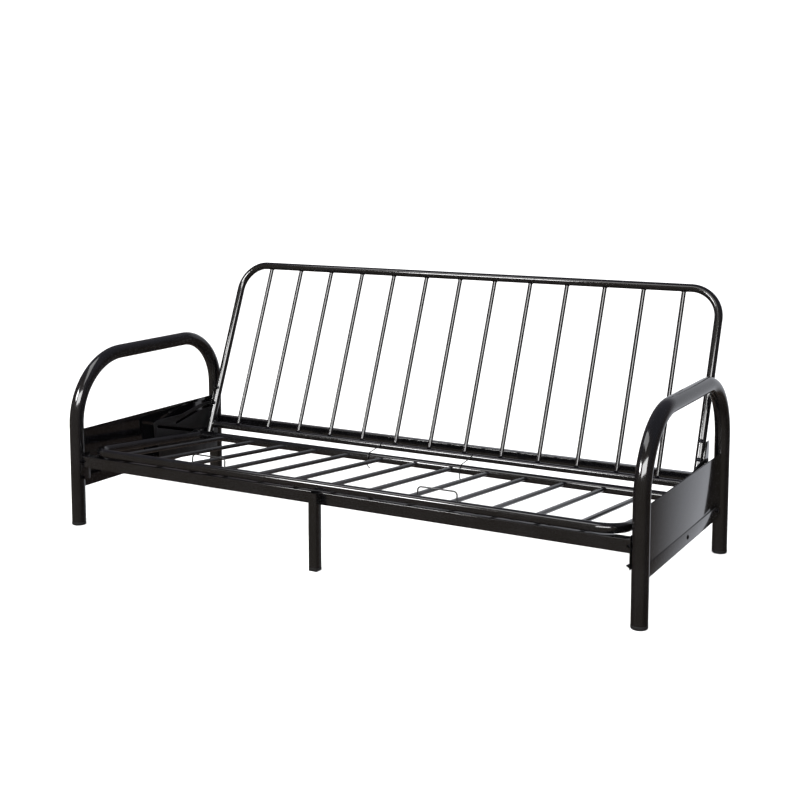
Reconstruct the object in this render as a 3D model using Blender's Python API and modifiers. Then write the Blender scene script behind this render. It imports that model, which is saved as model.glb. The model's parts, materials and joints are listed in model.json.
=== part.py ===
"""Bare metal frame of a futon sofa bed: two tube arms, a sliding seat deck and a folding back deck.

Metres, +Z up, +X to the sitter's left, front of the sofa at -Y, floor at Z = 0.
"""

import math

import bmesh
import bpy
from mathutils import Matrix, Vector

# --- arms: inverted U tubes that are also the legs
ARM_X = 1.041
TUBE_ARM = 0.025
ARM_TOP = 0.6186
FRONT_BEND = 0.235
REAR_BEND = 0.200
FRONT_LEG_Y = -0.465
LEG_SPACING = 0.799
REAR_LEG_Y = FRONT_LEG_Y + LEG_SPACING
CAP_HEIGHT = 0.0117
GAP = 0.0003

# --- rails and centre leg
RAIL_END_X = 1.0115
RAIL_HIGH = 0.040
RAIL_DEEP = 0.036
REAR_RAIL_DEEP = 0.030
PAD_HIGH = 0.0008
PAD_BACK = 0.015
FRONT_RAIL_FACE_Y = FRONT_LEG_Y - 0.003
FRONT_RAIL_TOP = 0.250
REAR_RAIL_TOP = 0.257
CENTRE_LEG_X = -0.024
CENTRE_LEG_SIDE = 0.031
CENTRE_LEG_TOP = 0.2533

# --- side panels
PANEL_X = 1.044
PANEL_THICK = 0.003
PANEL_TOP = 0.340
PANEL_BOTTOM = 0.130
FOLD_HIGH = 0.042
FOLD_STEP = 0.002

# --- the common hinge of both decks, as a sofa and as a bed
HINGE_Y = FRONT_LEG_Y + 0.685
HINGE_Z = 0.2094
BED_HINGE_Y = FRONT_LEG_Y + 0.400
BED_HINGE_Z = 0.283
BACK_LEAN = math.radians(22.2)
SEAT_TILT = math.radians(5.0)
FOLD = math.radians(90) - BACK_LEAN

# --- seat deck, distances measured along it from the hinge
SEAT_TUBE = 0.015
SEAT_SIDE_X = 0.9755
SEAT_DEEP = 0.680
SEAT_CORNER = 0.072
SEAT_REAR_TUBE = 0.016
SEAT_REAR_AT = 0.0723
SEAT_REAR_END_X = 1.0001
SLAT = 0.0075
DECK_BARS = 13
SLAT_PITCH = 0.1415
WIRE_STOP = 0.0025
STOP_HIGH = 0.028
STOP_WIDE = 0.134
STOP_CENTRES = (-0.464, 0.398)

# --- back deck, distances measured along it from the hinge
BACK_TUBE = 0.014
BACK_SIDE_X = 0.986
BACK_HIGH = 0.702
BACK_CORNER = 0.105
BACK_LOWER_TUBE = 0.0125
BACK_LOWER_AT = 0.034
BACK_FOOT = 0.016
BAR_PITCH = 0.1425
WIRE_TIE = 0.0015
TIE_CENTRES = (-0.196, 0.178)

# --- hinge and guide hardware, layer by layer outwards along X
LUG_IN, LUG_OUT = 1.0005, 1.0037
GUIDE_IN, GUIDE_OUT = 1.0060, 1.0097
PIN = 0.005
BORE = 0.0055
HEAD_OUT = 1.0128
HEAD = 0.0085
STANDOFF = 0.007
GUIDE_PIN_Y = FRONT_LEG_Y + 0.7315
GUIDE_PIN_Z = 0.309
GUIDE_BOLTS = ((FRONT_LEG_Y + 0.424, 0.151), (FRONT_LEG_Y + 0.749, 0.153))

MATERIALS = {
    "black_enamel_tube": ((0.012, 0.012, 0.014, 1), 0.22, 0.0),
    "black_enamel_sheet": ((0.014, 0.014, 0.016, 1), 0.18, 0.0),
    "black_plastic": ((0.010, 0.010, 0.010, 1), 0.5, 0.0),
    "black_zinc_bolt": ((0.05, 0.05, 0.055, 1), 0.35, 1.0),
    "black_wire": ((0.02, 0.02, 0.022, 1), 0.35, 0.0),
}


def clear_scene():
    for obj in list(bpy.data.objects):
        bpy.data.objects.remove(obj, do_unlink=True)


def new_collection(name):
    collection = bpy.data.collections.new(name)
    bpy.context.scene.collection.children.link(collection)
    return collection


def material_for(node, finish):
    colour, roughness, metallic = MATERIALS[finish]
    material = bpy.data.materials.new(f"{node}_{finish}")
    material.use_nodes = True
    shader = material.node_tree.nodes["Principled BSDF"]
    shader.inputs["Base Color"].default_value = colour
    shader.inputs["Roughness"].default_value = roughness
    shader.inputs["Metallic"].default_value = metallic
    material.diffuse_color = colour
    return material


def adopt(obj, name, finish, parts, pivot=None):
    """Names the object, gives it its own material and hangs it on its pivot."""
    obj.name = name
    obj.data.name = name
    obj.data.materials.clear()
    obj.data.materials.append(material_for(name, finish))
    for collection in list(obj.users_collection):
        collection.objects.unlink(obj)
    parts.objects.link(obj)
    if pivot is not None:
        obj.parent = pivot
        obj.matrix_parent_inverse = pivot.matrix_world.inverted()
    return obj


def curve_object(splines, depth=0.0, resolution=2, extrude=0.0):
    """A poly curve: a tube of radius depth, or a filled outline 2 x extrude thick."""
    data = bpy.data.curves.new("curve", "CURVE")
    data.dimensions = "2D" if extrude else "3D"
    if extrude:
        data.fill_mode = "BOTH"
        data.extrude = extrude
    else:
        data.bevel_depth = depth
        data.bevel_resolution = resolution
        data.use_fill_caps = True
    for points, cyclic in splines:
        spline = data.splines.new("POLY")
        spline.points.add(len(points) - 1)
        for point, place in zip(spline.points, points):
            point.co = (*place, 1.0) if len(place) == 3 else (*place, 0.0, 1.0)
        spline.use_cyclic_u = cyclic
    obj = bpy.data.objects.new("curve", data)
    bpy.context.scene.collection.objects.link(obj)
    return obj


def as_mesh(obj):
    """The evaluated curve as a closed mesh object in the curve's place."""
    bpy.context.view_layer.update()
    graph = bpy.context.evaluated_depsgraph_get()
    mesh = bpy.data.meshes.new_from_object(obj.evaluated_get(graph))
    shell = bmesh.new()
    shell.from_mesh(mesh)
    bmesh.ops.remove_doubles(shell, verts=shell.verts, dist=0.00005)
    shell.to_mesh(mesh)
    shell.free()
    made = bpy.data.objects.new("mesh", mesh)
    bpy.context.scene.collection.objects.link(made)
    made.matrix_world = obj.matrix_world
    bpy.data.objects.remove(obj, do_unlink=True)
    return made


def boolean(obj, other, operation, cutters):
    """Cuts or joins another solid into obj, and keeps that solid among the cutters."""
    adopt(other, f"cutter_{obj.name}_{len(obj.modifiers)}", "black_plastic", cutters)
    other.hide_render = True
    other.display_type = "WIRE"
    change = obj.modifiers.new(operation.title(), "BOOLEAN")
    change.operation = operation
    change.object = other


def arc(centre, radius, start, end, steps):
    """Points of an arc in a plane, angles in degrees."""
    turns = [math.radians(start + (end - start) * i / steps) for i in range(steps + 1)]
    return [(centre[0] + radius * math.cos(t), centre[1] + radius * math.sin(t)) for t in turns]


def circle(centre, radius, steps=24):
    return arc(centre, radius, 0, 360, steps)[:-1]


def box(size, centre):
    bpy.ops.mesh.primitive_cube_add(size=1, location=centre)
    obj = bpy.context.object
    obj.scale = size
    bpy.ops.object.transform_apply(location=False, rotation=False, scale=True)
    return obj


def rod(start, end, radius, sides=12):
    """A straight round bar between two points."""
    start, end = Vector(start), Vector(end)
    way = end - start
    turn = way.to_track_quat("Z", "Y").to_euler()
    bpy.ops.mesh.primitive_cylinder_add(
        vertices=sides, radius=radius, depth=way.length, location=(start + end) / 2, rotation=turn
    )
    return bpy.context.object


def plate(outlines, x_in, x_out):
    """A flat plate in the YZ plane between two X values, its first outline the rim, the others holes."""
    thick = abs(x_out - x_in)
    obj = curve_object([(outline, True) for outline in outlines], extrude=thick / 2)
    obj.rotation_euler = (math.pi / 2, 0, math.pi / 2)
    obj.location = ((x_in + x_out) / 2, 0, 0)
    return as_mesh(obj)


def turned(profile, location, rotation=(0, 0, 0), steps=24):
    """A solid of revolution; the profile gives (radius, height) from the top of the axis to its foot."""
    mesh = bpy.data.meshes.new("turned")
    points = [(radius, 0, height) for radius, height in profile]
    mesh.from_pydata(points, [(i, i + 1) for i in range(len(points) - 1)], [])
    obj = bpy.data.objects.new("turned", mesh)
    bpy.context.scene.collection.objects.link(obj)
    screw = obj.modifiers.new("Screw", "SCREW")
    screw.axis = "Z"
    screw.steps = steps
    screw.render_steps = steps
    screw.use_merge_vertices = True
    screw.merge_threshold = 0.00001
    obj.location = location
    obj.rotation_euler = rotation
    return as_mesh(obj)


def pin_along_x(side, x_in, x_neck, x_out, y, z, radius, head):
    """A headed pin whose shank runs from x_in to x_neck and whose head ends at x_out."""
    profile = [(0, x_out), (head, x_out), (head, x_neck), (radius, x_neck), (radius, x_in), (0, x_in)]
    return turned(profile, (0, y, z), (0, side * math.pi / 2, 0))


def on_seat(along, above=0.0):
    """(y, z) of a point on the seat deck's plane, that far in front of the hinge."""
    y = HINGE_Y - along * math.cos(SEAT_TILT) + above * math.sin(SEAT_TILT)
    return y, HINGE_Z + along * math.sin(SEAT_TILT) + above * math.cos(SEAT_TILT)


def on_back(along, behind=0.0):
    """(y, z) of a point on the back deck's plane, that far above the hinge."""
    y = HINGE_Y + along * math.sin(BACK_LEAN) + behind * math.cos(BACK_LEAN)
    return y, HINGE_Z + along * math.cos(BACK_LEAN) - behind * math.sin(BACK_LEAN)


def hinge_at(share):
    """(y, z) of the hinge after that share of the way from sofa to bed."""
    return HINGE_Y + (BED_HINGE_Y - HINGE_Y) * share, HINGE_Z + (BED_HINGE_Z - HINGE_Z) * share


def guide_pin_at(share):
    """(y, z) of the back's guide pin after that share of the way from sofa to bed."""
    hinge_y, hinge_z = hinge_at(share)
    reach = math.hypot(GUIDE_PIN_Y - HINGE_Y, GUIDE_PIN_Z - HINGE_Z)
    turn = math.atan2(GUIDE_PIN_Z - HINGE_Z, GUIDE_PIN_Y - HINGE_Y) - FOLD * share
    return hinge_y + reach * math.cos(turn), hinge_z + reach * math.sin(turn)


def slot(route, half_wide):
    """Closed outline of a slot with round ends along a route of (y, z) points."""
    route = [Vector(place) for place in route]
    ways = [(b - a).normalized() for a, b in zip(route, route[1:])]
    ways = [ways[0]] + [(a + b).normalized() for a, b in zip(ways, ways[1:])] + [ways[-1]]
    left = [place + Vector((-way.y, way.x)) * half_wide for place, way in zip(route, ways)]
    right = [place - Vector((-way.y, way.x)) * half_wide for place, way in zip(route, ways)]

    def end(centre, way):
        start = math.degrees(math.atan2(way.y, way.x))
        return [Vector(p) for p in arc(centre, half_wide, start + 90, start - 90, 8)[1:-1]]

    outline = left + end(route[-1], ways[-1]) + right[::-1] + end(route[0], -ways[0])
    return [tuple(place) for place in outline]


def arm_route():
    """The arm tube's centre line in (y, z), front foot to rear foot."""
    top = ARM_TOP - TUBE_ARM
    foot = CAP_HEIGHT + GAP
    front = arc((FRONT_LEG_Y + FRONT_BEND, top - FRONT_BEND), FRONT_BEND, 180, 90, 12)
    rear = arc((REAR_LEG_Y - REAR_BEND, top - REAR_BEND), REAR_BEND, 90, 0, 12)
    return [(FRONT_LEG_Y, foot)] + front + rear + [(REAR_LEG_Y, foot)]


def build_arms(parts):
    for side, word in ((-1, "left"), (1, "right")):
        route = [(side * ARM_X, y, z) for y, z in arm_route()]
        adopt(curve_object([(route, False)], TUBE_ARM, 3), f"arm_tube_{word}", "black_enamel_tube", parts)
    rim = TUBE_ARM + 0.0005
    profile = [(0, CAP_HEIGHT), (rim, CAP_HEIGHT), (rim, 0.0060), (rim - 0.002, 0.0020), (rim - 0.006, 0), (0, 0)]
    for side, word in ((-1, "left"), (1, "right")):
        for y, end in ((FRONT_LEG_Y, "front"), (REAR_LEG_Y, "rear")):
            adopt(turned(profile, (side * ARM_X, y, 0)), f"foot_cap_{end}_{word}", "black_plastic", parts)


def build_panels(parts):
    """The folded sheet between the legs of each arm; its foot is folded double on the outside."""
    inner, outer = PANEL_X - PANEL_THICK / 2, PANEL_X + PANEL_THICK / 2
    reach = math.sqrt(TUBE_ARM**2 - (inner - ARM_X) ** 2) + 0.0006
    fold_top = PANEL_BOTTOM + FOLD_HIGH
    section = [(inner, PANEL_TOP), (inner, PANEL_BOTTOM), (outer + FOLD_STEP, PANEL_BOTTOM),
               (outer + FOLD_STEP, fold_top), (outer, fold_top), (outer, PANEL_TOP)]
    for side, word in ((-1, "left"), (1, "right")):
        outline = [(side * x, z) for x, z in section]
        sheet = curve_object([(outline, True)], extrude=LEG_SPACING / 2 - reach)
        sheet.rotation_euler = (math.pi / 2, 0, 0)
        sheet.location = (0, FRONT_LEG_Y + LEG_SPACING / 2, 0)
        adopt(as_mesh(sheet), f"side_panel_{word}", "black_enamel_sheet", parts)


def build_rails(parts):
    front_y = FRONT_RAIL_FACE_Y + RAIL_DEEP / 2
    front_z = FRONT_RAIL_TOP - RAIL_HIGH / 2
    spans = {
        "front_rail_left": (-RAIL_END_X, CENTRE_LEG_X - GAP / 2),
        "front_rail_right": (CENTRE_LEG_X + GAP / 2, RAIL_END_X),
    }
    for name, (start, end) in spans.items():
        rail = box((end - start, RAIL_DEEP, RAIL_HIGH), ((start + end) / 2, front_y, front_z))
        adopt(rail, name, "black_enamel_sheet", parts)
    rear_long = 2 * (ARM_X - TUBE_ARM - GAP)
    rear = box((rear_long, REAR_RAIL_DEEP, RAIL_HIGH), (0, REAR_LEG_Y, REAR_RAIL_TOP - RAIL_HIGH / 2))
    adopt(rear, "rear_rail", "black_enamel_sheet", parts)


def build_centre_leg(parts):
    back_face = FRONT_RAIL_FACE_Y - GAP
    leg_y = back_face - CENTRE_LEG_SIDE / 2
    foot = CAP_HEIGHT + GAP
    leg = box((CENTRE_LEG_SIDE, CENTRE_LEG_SIDE, CENTRE_LEG_TOP - foot),
              (CENTRE_LEG_X, leg_y, (CENTRE_LEG_TOP + foot) / 2))
    adopt(leg, "centre_leg", "black_enamel_sheet", parts)
    cap = box((CENTRE_LEG_SIDE, CENTRE_LEG_SIDE, CAP_HEIGHT), (CENTRE_LEG_X, leg_y, CAP_HEIGHT / 2))
    bevel = cap.modifiers.new("Bevel", "BEVEL")
    bevel.width = 0.002
    bevel.segments = 2
    adopt(cap, "centre_leg_cap", "black_plastic", parts)


def build_rail_fittings(parts):
    """End plates of the front rail and the nylon pads that the seat slides on."""
    low, high = 0.165, 0.262
    y_front, y_rear = FRONT_LEG_Y - 0.010, FRONT_LEG_Y + 0.034
    outline = [(y_front, low), (y_rear, low), (y_rear, high), (y_front, high)]
    for side, word in ((-1, "left"), (1, "right")):
        bracket = plate([outline], side * (RAIL_END_X + GAP), side * (RAIL_END_X + GAP + 0.003))
        adopt(bracket, f"rail_bracket_{word}", "black_enamel_sheet", parts)
    for side, word in ((-1, "left"), (1, "right")):
        centre = (side * SEAT_SIDE_X, FRONT_RAIL_FACE_Y + PAD_BACK, FRONT_RAIL_TOP + GAP + PAD_HIGH / 2)
        adopt(box((0.030, 0.026, PAD_HIGH), centre), f"seat_glide_pad_{word}", "black_plastic", parts)


def build_guides(parts, cutters):
    """Slotted plates, on two standoffs each, that steer the hinge pin and the back's guide pin."""
    front = FRONT_LEG_Y
    rim = [(front + 0.410, 0.136), (front + 0.762, 0.136), (front + 0.766, 0.200), (front + 0.762, 0.300),
           (front + 0.750, 0.325), (front + 0.715, 0.328), (front + 0.655, 0.326), (front + 0.545, 0.306),
           (front + 0.400, 0.308), (front + 0.376, 0.300), (front + 0.380, 0.250), (front + 0.400, 0.205)]
    hinge_slot = slot([hinge_at(0), hinge_at(1)], BORE)
    pin_slot = slot([guide_pin_at(i / 16) for i in range(17)], BORE)
    standoff_out = PANEL_X - PANEL_THICK / 2 - GAP
    for side, word in ((-1, "left"), (1, "right")):
        guide = plate([rim, hinge_slot, pin_slot], side * GUIDE_IN, side * GUIDE_OUT)
        adopt(guide, f"guide_plate_{word}", "black_enamel_sheet", parts)
        for y, z in GUIDE_BOLTS:
            standoff = rod((side * (GUIDE_OUT - 0.001), y, z), (side * standoff_out, y, z), STANDOFF, 16)
            boolean(guide, standoff, "UNION", cutters)


def build_hinge_pins(parts, pivot):
    """The carriage: one headed pin a side, through back tube, seat lug and guide slot."""
    x_in = BACK_SIDE_X - BACK_TUBE - 0.002
    for side, word in ((-1, "left"), (1, "right")):
        pin = pin_along_x(side, x_in, GUIDE_OUT + GAP, HEAD_OUT, HINGE_Y, HINGE_Z, PIN, HEAD)
        adopt(pin, f"hinge_pin_{word}", "black_zinc_bolt", parts, pivot)


def bar_places(pitch):
    return [(i - (DECK_BARS - 1) / 2) * pitch for i in range(DECK_BARS)]


def build_seat(parts, pivot):
    corner_x = SEAT_SIDE_X - SEAT_CORNER
    start = SEAT_REAR_AT + SEAT_REAR_TUBE + 0.0006
    flat = [(SEAT_SIDE_X, start)]
    flat += arc((corner_x, SEAT_DEEP - SEAT_CORNER), SEAT_CORNER, 0, 90, 8)
    flat += [(-x, along) for x, along in reversed(flat)]
    route = [(x, *on_seat(along)) for x, along in flat]
    adopt(curve_object([(route, False)], SEAT_TUBE, 2), "seat_frame_tube", "black_enamel_tube", parts, pivot)

    rear_y, rear_z = on_seat(SEAT_REAR_AT)
    rear = rod((-SEAT_REAR_END_X, rear_y, rear_z), (SEAT_REAR_END_X, rear_y, rear_z), SEAT_REAR_TUBE, 16)
    adopt(rear, "seat_rear_tube", "black_enamel_tube", parts, pivot)

    for number, x in enumerate(bar_places(SLAT_PITCH), 1):
        slat = rod((x, *on_seat(start)), (x, *on_seat(SEAT_DEEP - SEAT_TUBE - 0.0006)), SLAT)
        adopt(slat, f"seat_slat_{number:02d}", "black_enamel_tube", parts, pivot)

    lug = slot([on_seat(SEAT_REAR_AT), on_seat(0)], SEAT_REAR_TUBE + 0.002)
    for side, word in ((-1, "left"), (1, "right")):
        hinge = plate([lug, circle((HINGE_Y, HINGE_Z), BORE)], side * LUG_IN, side * LUG_OUT)
        adopt(hinge, f"seat_hinge_lug_{word}", "black_enamel_sheet", parts, pivot)

    foot = SEAT_TUBE + WIRE_STOP + 0.001
    bend = 0.012
    for centre, word in zip(STOP_CENTRES, ("left", "right")):
        half = STOP_WIDE / 2
        loop = [(half, foot)] + arc((half - bend, STOP_HIGH + SEAT_TUBE - bend), bend, 0, 90, 4)
        loop += [(-x, above) for x, above in reversed(loop)]
        route = [(centre + x, *on_seat(SEAT_DEEP, above)) for x, above in loop]
        stop = curve_object([(route, False)], WIRE_STOP, 2)
        adopt(stop, f"mattress_stop_{word}", "black_wire", parts, pivot)


def tie_route():
    """(y, z) of a wire tie: tail below the seat's rear tube, over that tube, up to the back's lower tube."""
    rear_y, rear_z = on_seat(SEAT_REAR_AT)
    around = SEAT_REAR_TUBE + WIRE_TIE + 0.0010
    lower_y, lower_z = on_back(BACK_LOWER_AT)
    rest = BACK_LOWER_TUBE + WIRE_TIE + 0.0020
    tail = [(rear_y - 0.004, rear_z - 0.040), (rear_y - 0.009, rear_z - 0.030)]
    wrap = arc((rear_y, rear_z), around, 230, 75, 8)
    touch = arc((lower_y, lower_z), rest, 175, 125, 3)
    return tail + wrap + touch


def build_ties(parts, pivot):
    for centre, word in zip(TIE_CENTRES, ("left", "right")):
        route = [(centre, y, z) for y, z in tie_route()]
        tie = curve_object([(route, False)], WIRE_TIE, 2)
        adopt(tie, f"wire_tie_{word}", "black_wire", parts, pivot)


def build_back(parts, cutters, pivot):
    corner_x = BACK_SIDE_X - BACK_CORNER
    flat = [(BACK_SIDE_X, -BACK_FOOT)]
    flat += arc((corner_x, BACK_HIGH - BACK_CORNER), BACK_CORNER, 0, 90, 9)
    flat += [(-x, along) for x, along in reversed(flat)]
    route = [(x, *on_back(along)) for x, along in flat]
    frame = as_mesh(curve_object([(route, False)], BACK_TUBE, 3))
    adopt(frame, "back_frame_tube", "black_enamel_tube", parts, pivot)
    reach = BACK_SIDE_X + 2 * BACK_TUBE
    bore = rod((-reach, HINGE_Y, HINGE_Z), (reach, HINGE_Y, HINGE_Z), BORE, 24)
    boolean(frame, bore, "DIFFERENCE", cutters)

    inner = BACK_SIDE_X - BACK_TUBE - 0.0006
    lower_y, lower_z = on_back(BACK_LOWER_AT)
    lower = rod((-inner, lower_y, lower_z), (inner, lower_y, lower_z), BACK_LOWER_TUBE, 16)
    adopt(lower, "back_lower_tube", "black_enamel_tube", parts, pivot)

    for number, x in enumerate(bar_places(BAR_PITCH), 1):
        foot = BACK_LOWER_AT + BACK_LOWER_TUBE + 0.0006
        bar = rod((x, *on_back(foot)), (x, *on_back(BACK_HIGH - BACK_TUBE - 0.0006)), SLAT)
        adopt(bar, f"back_bar_{number:02d}", "black_enamel_tube", parts, pivot)

    front = FRONT_LEG_Y
    rim = [(front + 0.710, 0.290), (front + 0.744, 0.378), (front + 0.779, 0.378), (front + 0.775, 0.304),
           (front + 0.765, 0.290)]
    for side, word in ((-1, "left"), (1, "right")):
        bracket = plate([rim], side * LUG_IN, side * LUG_OUT)
        adopt(bracket, f"back_bracket_{word}", "black_enamel_sheet", parts, pivot)
        pin_in = LUG_OUT - 0.001
        pin = pin_along_x(side, pin_in, GUIDE_OUT + GAP, HEAD_OUT, GUIDE_PIN_Y, GUIDE_PIN_Z, PIN, HEAD)
        boolean(bracket, pin, "UNION", cutters)


def new_pivot(name, parts, parent=None):
    pivot = bpy.data.objects.new(name, None)
    parts.objects.link(pivot)
    if parent is None:
        pivot.matrix_world = Matrix.Translation((0, HINGE_Y, HINGE_Z))
    else:
        pivot.parent = parent
    bpy.context.view_layer.update()
    return pivot


def shade_round(parts):
    for obj in parts.objects:
        if obj.type == "MESH":
            obj.data.shade_smooth()
            obj.data.set_sharp_from_angle(angle=math.radians(40))


def main():
    clear_scene()
    parts = new_collection("futon_sofa_bed_frame")
    cutters = new_collection("cutters")
    cutters.hide_render = True
    carriage = new_pivot("carriage_pivot", parts)
    seat = new_pivot("seat_pivot", parts, carriage)
    back = new_pivot("back_pivot", parts, carriage)
    build_arms(parts)
    build_panels(parts)
    build_rails(parts)
    build_centre_leg(parts)
    build_rail_fittings(parts)
    build_guides(parts, cutters)
    build_hinge_pins(parts, carriage)
    build_seat(parts, seat)
    build_ties(parts, seat)
    build_back(parts, cutters, back)
    shade_round(parts)


main()
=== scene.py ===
"""Finished model of the bare steel frame of a futon sofa bed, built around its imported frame."""

import json
import math

import bpy
from bpy.props import FloatProperty, FloatVectorProperty, IntProperty, PointerProperty
from bpy.types import Operator, Panel, PropertyGroup
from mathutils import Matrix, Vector


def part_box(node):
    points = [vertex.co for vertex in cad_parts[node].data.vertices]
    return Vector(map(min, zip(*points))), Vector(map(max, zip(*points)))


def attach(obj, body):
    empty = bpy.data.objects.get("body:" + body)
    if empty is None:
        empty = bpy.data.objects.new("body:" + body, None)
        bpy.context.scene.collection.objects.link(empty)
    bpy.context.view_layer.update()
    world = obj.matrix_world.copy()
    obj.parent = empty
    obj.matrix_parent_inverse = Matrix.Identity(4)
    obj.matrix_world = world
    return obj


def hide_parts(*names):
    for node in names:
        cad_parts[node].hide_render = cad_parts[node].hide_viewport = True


bl_info = {
    "name": "Futon Sofa Bed Frame",
    "version": (1, 0, 0),
    "blender": (4, 5, 0),
    "location": "View3D > Sidebar > Futon",
    "description": "Builds the enamelled tubes, sheets and fittings of a futon frame",
    "category": "Add Mesh",
}

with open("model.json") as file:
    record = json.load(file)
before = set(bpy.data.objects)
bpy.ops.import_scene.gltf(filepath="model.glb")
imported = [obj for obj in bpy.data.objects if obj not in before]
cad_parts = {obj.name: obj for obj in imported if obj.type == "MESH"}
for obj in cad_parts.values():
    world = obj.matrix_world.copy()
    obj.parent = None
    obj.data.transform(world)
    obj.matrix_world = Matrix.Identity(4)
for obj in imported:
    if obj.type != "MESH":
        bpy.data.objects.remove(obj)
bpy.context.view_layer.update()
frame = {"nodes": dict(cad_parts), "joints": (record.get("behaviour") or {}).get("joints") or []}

SIDES = ((-1, "left"), (1, "right"))
BARS = 13
MIDDLE_BAR = 7
SEAT_DEEP = 0.680
SEAT_TUBE = 0.015
BACK_HIGH = 0.702
BACK_FOOT = 0.016
BACK_TUBE = 0.014
LOWER_TUBE_AT = 0.034
PANEL_STEP = 0.002
PANEL_BOLTS = (("front", PANEL_STEP, 0.4188, 0.1521), ("rear", PANEL_STEP, 0.7443, 0.1548),
               ("leg", 0.0, 0.0556, 0.2183))
BACK_BOLTS = (("upper", 0.180), ("lower", 0.118))
STOP_WIRE = 0.0025
STOP_HIGH = 0.028
STOP_BEND = 0.012
TIE_WIRE = 0.0019


def linear_colour(value):
    """Turns an sRGB hex colour into the linear numbers that a shader takes."""
    channels = [int(value[i:i + 2], 16) / 255 for i in (1, 3, 5)]
    return tuple(c / 12.92 if c <= 0.04045 else ((c + 0.055) / 1.055) ** 2.4 for c in channels)


def centre_of(node):
    low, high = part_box(node)
    return (low + high) / 2


def size_of(node):
    low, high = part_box(node)
    return high - low


def joint_point(name):
    joint = next(j for j in frame["joints"] if j["name"] == name)
    return Vector(joint["pos_m"])


class FutonTubes(PropertyGroup):
    """Sizes of the bent tubes and bars"""

    front_bend: FloatProperty(
        name="Front bend", description="Radius of the arm's bend above the front leg",
        default=0.235, min=0.05, unit="LENGTH")
    rear_bend: FloatProperty(
        name="Rear bend", description="Radius of the arm's bend above the rear leg",
        default=0.200, min=0.05, unit="LENGTH")
    seat_bend: FloatProperty(
        name="Seat corner", description="Bend radius of the seat frame's front corners",
        default=0.072, min=0.02, unit="LENGTH")
    back_bend: FloatProperty(
        name="Back corner", description="Bend radius of the back frame's top corners",
        default=0.105, min=0.02, unit="LENGTH")
    seat_tilt: FloatProperty(
        name="Seat tilt", description="How far the seat rises towards the front",
        default=math.radians(5.0), unit="ROTATION")
    back_lean: FloatProperty(
        name="Back lean", description="How far the back leans from the vertical",
        default=math.radians(22.2), unit="ROTATION")
    bead: FloatProperty(
        name="Weld bead", description="How far a weld stands out round the end of a bar",
        default=0.0022, min=0.0, unit="LENGTH")
    around: IntProperty(
        name="Facets", description="Facets round a large tube", default=48, min=12)


class FutonSheets(PropertyGroup):
    """Sizes of the folded sheet and the square tubes"""

    gauge: FloatProperty(
        name="Gauge", description="Thickness of the side sheet",
        default=0.0012, min=0.0005, unit="LENGTH")
    hem: FloatProperty(
        name="Hem", description="Depth of the fold along the top of a side sheet",
        default=0.012, min=0.0, unit="LENGTH")
    strip: FloatProperty(
        name="Foot strip", description="Height of the strip along the foot of a side sheet",
        default=0.042, min=0.01, unit="LENGTH")
    corner: FloatProperty(
        name="Tube corner", description="Outside radius of a square tube's corners",
        default=0.0028, min=0.0005, unit="LENGTH")
    wall: FloatProperty(
        name="Tube wall", description="Wall thickness of a square tube",
        default=0.0015, min=0.0005, unit="LENGTH")


class FutonFinishes(PropertyGroup):
    """Colours of the finishes"""

    enamel: FloatVectorProperty(
        name="Enamel", description="Baked enamel on tubes and sheets",
        subtype="COLOR", size=3, default=linear_colour("#060607"))
    enamel_thin: FloatVectorProperty(
        name="Thin enamel", description="Enamel where it has run thin",
        subtype="COLOR", size=3, default=linear_colour("#0b0b0d"))
    plastic: FloatVectorProperty(
        name="Cap plastic", description="Moulded polyethylene of the caps",
        subtype="COLOR", size=3, default=linear_colour("#0c0c0d"))
    zinc: FloatVectorProperty(
        name="Bolt plating", description="Black zinc plating of the bolts",
        subtype="COLOR", size=3, default=linear_colour("#26262a"))
    floor: FloatVectorProperty(
        name="Floor", description="Colour of the studio floor",
        subtype="COLOR", size=3, default=linear_colour("#f4f4f4"))


# ---------------------------------------------------------------- materials


def add_node(tree, kind, settings, links=()):
    """Adds a node; settings name its inputs or its properties, links pair an input with a socket."""
    node = tree.nodes.new(kind)
    for key, value in settings.items():
        if key in node.inputs:
            node.inputs[key].default_value = value
        else:
            setattr(node, key, value)
    for key, socket in links:
        tree.links.new(socket, node.inputs[key])
    return node


def blank_material(name):
    material = bpy.data.materials.new(name)
    material.use_nodes = True
    tree = material.node_tree
    return material, tree, tree.nodes["Principled BSDF"]


def object_place(tree):
    return add_node(tree, "ShaderNodeTexCoord", {}).outputs["Object"]


def noise(tree, place, size_mm, detail=2.0):
    """Smooth noise whose lumps are about that many millimetres across."""
    links = [("Vector", place)]
    settings = {"Scale": 1000 / size_mm, "Detail": detail}
    return add_node(tree, "ShaderNodeTexNoise", settings, links).outputs["Fac"]


def spread(tree, value, low, high):
    """Stretches the middle of a noise over low to high."""
    settings = {"From Min": 0.3, "From Max": 0.7, "To Min": low, "To Max": high}
    return add_node(tree, "ShaderNodeMapRange", settings, [("Value", value)]).outputs["Result"]


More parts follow.
